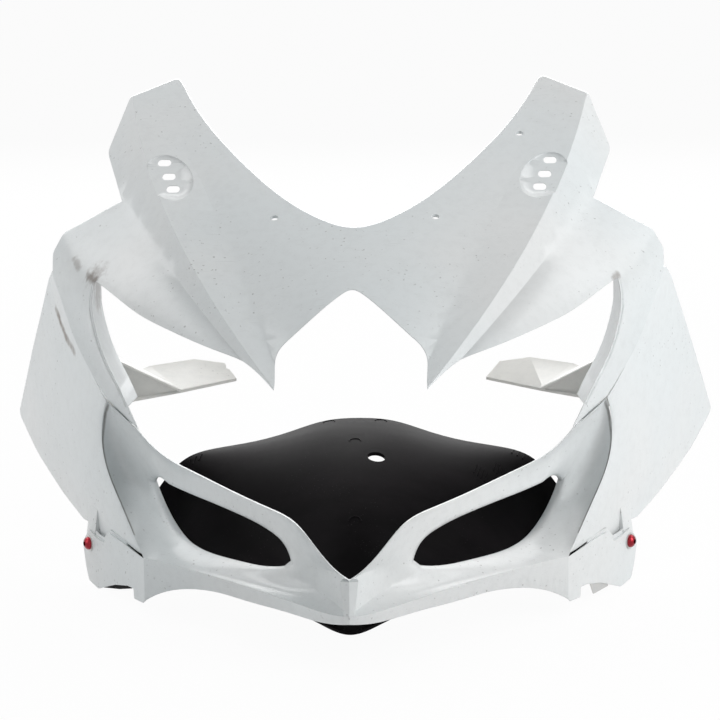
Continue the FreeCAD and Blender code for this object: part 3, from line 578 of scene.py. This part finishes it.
# %% Scraps under the wings
TAB_TOP = [(207, 21.1), (213, 19.1), (228, 11.1)]
TAB_LOW = [(208.5, 13.1), (212.7, -0.7), (226.5, -0.4)]
STRIP_TOP = [(203, 20.1), (215, 16.1), (236, 6.1)]
STRIP_LOW = [(203, 10.6), (216, 3.6), (236, -4.6)]
finished(behind_wing("wing_tab_left", SIDES["left"], TAB_TOP, TAB_LOW), "steel", STEEL)
black_strip = behind_wing("wing_strip_right", SIDES["right"], STRIP_TOP, STRIP_LOW)
finished(black_strip, "black_panel", BLACK_PANEL)

# %% [markdown]
# The inner edge of each leg is returned backwards as a flange, which stiffens the leg. Up
# in the corner of the opening the flange runs on until it meets the inside of the shell.
# The same strip makes it, between a front row on the leg and a rear row further back.

# %% Flange tops
LEG_ROW = [(235.9, 16.5, 258.0), (236.0, 20.0, 268.0), (234.6, 24.5, 277.0), (233.4, 29.5, 283.0)]
REAR_ROW = [(231.4, 58.0, 258.0), (231.2, 57.0, 270.0), (231.0, 55.0, 283.0), (230.8, 50.0, 297.0)]
FLANGE_WALL = Vector((2.0, 0.0, 0.0))
inner = [(Vector(leg), Vector(rear)) for leg, rear in zip(LEG_ROW, REAR_ROW)]
outer = [(leg + FLANGE_WALL, rear + FLANGE_WALL) for leg, rear in inner]
for side, sign in SIDES.items():
    finished(strip("leg_flange_top_" + side, sign, inner, outer), "white_shell", WHITE_SHELL)

# %% [markdown]
# The hardware is small and turned or pressed from metal, so its solids need no more than
# welding and a finish of their own.

# %% Hardware
for side in SIDES:
    finished(welded("red_bolt_" + side), "red_anodised", RED_ANODISED, "red_bolt_" + side)
    for kind in ("bolt_washer_", "clip_nut_", "leg_screw_", "cover_screw_"):
        finished(welded(kind + side), "steel", STEEL, kind + side)

# %% [markdown]
# The tray carries small raised marks from its mould: four half rings where the ejector
# pins stood, and short combs of ribs, two on one side and one towards each rear corner.
# Each mark is one curve swept with a round profile, set on every point of a small point
# list, and then dropped on to the tray by a ray from above. Geometry Nodes do this for a
# whole list at once, and the marks follow the curved surface whatever its shape.

# %% Marks on the tray
HALF_RINGS = [(-1.6, -0.5), (-26.8, 55.8), (20.6, 55.9), (1.4, -122.4)]
RING_RADIUS, RING_RIB, RING_STEPS = 0.0052, 0.0006, 20
COMB_LENGTH, COMB_RIB = 0.012, 0.0006
REAR_LENGTH, REAR_RIB = 0.009, 0.0008
RIB_WAY = (0.25, 1.0, 0.0)
RIB_SIDES = 8
DROP_FROM = (0.0, 0.0, 0.5)
DOWN = (0.0, 0.0, -1.0)
UPRIGHT_ONLY = (0.0, 0.0, 1.0)


def comb(count, first, step):
    return [(first[0] + step[0] * i, first[1] + step[1] * i) for i in range(count)]


COMB_RIBS = comb(4, (104.5, -16.5), (3.0, -1.6)) + comb(3, (122.0, -3.0), (3.0, -1.6))
REAR_RIBS = comb(3, (139.0, 31.0), (5.0, -1.6)) + comb(3, (-144.0, 25.0), (-5.0, -1.6))


def stamp_tree(name, kind, size, constants, **settings):
    """A tree that sweeps one curve, repeats it on points and drops it on to a surface."""
    tree = bpy.data.node_groups.new(name, "GeometryNodeTree")
    face = tree.interface
    face.new_socket("Geometry", in_out="INPUT", socket_type="NodeSocketGeometry")
    for label in ("Size", "Rib"):
        face.new_socket(label, in_out="INPUT", socket_type="NodeSocketFloat")
    face.new_socket("Surface", in_out="INPUT", socket_type="NodeSocketObject")
    face.new_socket("Finish", in_out="INPUT", socket_type="NodeSocketMaterial")
    face.new_socket("Geometry", in_out="OUTPUT", socket_type="NodeSocketGeometry")

    def node(kind, inputs=None, **settings):
        made = tree.nodes.new(kind)
        for key, value in settings.items():
            setattr(made, key, value)
        for key, value in (inputs or {}).items():
            if isinstance(value, bpy.types.NodeSocket):
                tree.links.new(value, made.inputs[key])
            else:
                made.inputs[key].default_value = value
        return made.outputs

    given = node("NodeGroupInput")
    curve = node(kind, {**constants, size: given["Size"]}, **settings)[0]
    profile = node("GeometryNodeCurvePrimitiveCircle", {"Resolution": RIB_SIDES, "Radius": given["Rib"]})[0]
    swept = node("GeometryNodeCurveToMesh", {"Curve": curve, "Profile Curve": profile, "Fill Caps": True})[0]
    copies = node("GeometryNodeInstanceOnPoints", {"Points": given["Geometry"], "Instance": swept})[0]
    solid = node("GeometryNodeRealizeInstances", {0: copies})[0]
    place = node("GeometryNodeInputPosition")[0]
    above = node("ShaderNodeVectorMath", {0: place, 1: DROP_FROM}, operation="ADD")[0]
    target = node("GeometryNodeObjectInfo", {"Object": given["Surface"]})["Geometry"]
    aim = {"Target Geometry": target, "Source Position": above, "Ray Direction": DOWN}
    ray = node("GeometryNodeRaycast", aim)
    height = node("ShaderNodeVectorMath", {0: place, 1: UPRIGHT_ONLY}, operation="MULTIPLY")[0]
    landed = node("ShaderNodeVectorMath", {0: ray["Hit Position"], 1: height}, operation="ADD")[0]
    moved = node("GeometryNodeSetPosition", {"Geometry": solid, "Position": landed})[0]
    done = node("GeometryNodeSetMaterial", {"Geometry": moved, "Material": given["Finish"]})[0]
    node("NodeGroupOutput", {"Geometry": done})
    return tree


def stamped(name, points, tree, size, rib):
    mesh = bpy.data.meshes.new(name)
    mesh.from_pydata([(x * MM, y * MM, 0) for x, y in points], [], [])
    piece = placed(name, mesh)
    modifier = piece.modifiers.new("marks", "NODES")
    modifier.node_group = tree
    given = {"Size": size, "Rib": rib, "Surface": tray, "Finish": BLACK_PANEL}
    for item in tree.interface.items_tree:
        if item.name in given:
            modifier[item.identifier] = given[item.name]
    finished(settled(piece), "black_panel", BLACK_PANEL)


HALF_TURN = {"Sweep Angle": math.pi, "Resolution": RING_STEPS}
ring_tree = stamp_tree("half_ring_marks", "GeometryNodeCurveArc", "Radius", HALF_TURN)
LINE_WAY = {"Direction": RIB_WAY}
rib_tree = stamp_tree("rib_marks", "GeometryNodeCurvePrimitiveLine", "Length", LINE_WAY, mode="DIRECTION")
stamped("tray_half_rings", HALF_RINGS, ring_tree, RING_RADIUS, RING_RIB)
stamped("tray_comb_ribs", COMB_RIBS, rib_tree, COMB_LENGTH, COMB_RIB)
stamped("tray_rear_ribs", REAR_RIBS, rib_tree, REAR_LENGTH, REAR_RIB)

# %% [markdown]
# The part stands on a wide pale floor under soft light, as in a product photograph. The
# floor is a matt white that also glows for the camera, so the ground reads as white and
# only a faint shadow stays. The world does the same: full white where it is seen, and a
# weak light everywhere else.

# %% Floor and surroundings
FLOOR_HALF = 30.0
FLOOR_WHITE = (0.9, 0.9, 0.9, 1)
PURE_WHITE = (1, 1, 1, 1)
GROUND_SHARE = 0.95
AMBIENT = 0.24

corners = [(FLOOR_HALF * x, FLOOR_HALF * y, 0) for x, y in ((-1, -1), (1, -1), (1, 1), (-1, 1))]
floor_mesh = bpy.data.meshes.new("floor")
floor_mesh.from_pydata(corners, [], [(0, 1, 2, 3)])
floor = placed("floor", floor_mesh)


def seen_rays(sheet):
    """1 for rays from the camera and for those in reflections and glass."""
    rays = sheet.node("ShaderNodeLightPath", output="Is Camera Ray")
    source = rays.socket.node.outputs
    glossy = Value(sheet, source["Is Glossy Ray"])
    through = Value(sheet, source["Is Transmission Ray"])
    return rays.either(glossy).either(through)


ground = Finish("floor", Base_Color=FLOOR_WHITE, Roughness=0.9)
glow = ground.node("ShaderNodeEmission", None, {"Color": PURE_WHITE, "Strength": 1.0})
matt = Value(ground, ground.shader.outputs[0])
both = ground.node("ShaderNodeMixShader", None, [seen_rays(ground) * GROUND_SHARE, matt, glow])
ground.join(ground.tree.nodes["Material Output"].inputs["Surface"], both)
floor_mesh.materials.append(ground.material)


class Surroundings(Finish):
    """The world's nodes, made in the same way as a finish."""

    def __init__(self, world):
        world.use_nodes = True
        self.tree = world.node_tree


world = bpy.data.worlds.new("studio")
bpy.context.scene.world = world
studio = Surroundings(world)
light = world.node_tree.nodes["Background"]
studio.join(light.inputs["Strength"], seen_rays(studio) * (1 - AMBIENT) + AMBIENT)
studio.join(light.inputs["Color"], PURE_WHITE)
print("floor and surroundings ready")

# %% [markdown]
# A strong softbox on the viewer's right and a weak one on the left light the front, so the
# right panels are almost white and the left ones grey. Two small ones stand high and
# further back, one at each side, and a wide one far behind stands for a bright backdrop.


# %% Softboxes
def softbox(name, position, watts, size):
    lamp = bpy.data.lights.new(name, "AREA")
    lamp.energy = watts
    lamp.shape = "RECTANGLE"
    lamp.size, lamp.size_y = size
    box = bpy.data.objects.new(name, lamp)
    bpy.context.scene.collection.objects.link(box)
    box.location = position
    box.rotation_euler = (AIM - Vector(position)).to_track_quat("-Z", "Y").to_euler()


TALL, SMALL, WIDE = (0.9, 1.3), (0.7, 0.7), (3.0, 2.0)
# Name, place in metres, watts and size
SOFTBOXES = [
    ("key", (1.45, -0.75, 0.85), 17, TALL),
    ("fill", (-1.45, -0.6, 0.85), 5.6, TALL),
    ("high_right", (1.0, 0.45, 1.25), 3.5, SMALL),
    ("high_left", (-1.0, 0.45, 1.25), 4.2, SMALL),
    ("backdrop", (0.0, 2.4, 1.4), 40, WIDE),
]
for settings in SOFTBOXES:
    softbox(*settings)
bpy.context.scene.view_settings.view_transform = "Standard"
print("softboxes:", len(SOFTBOXES))
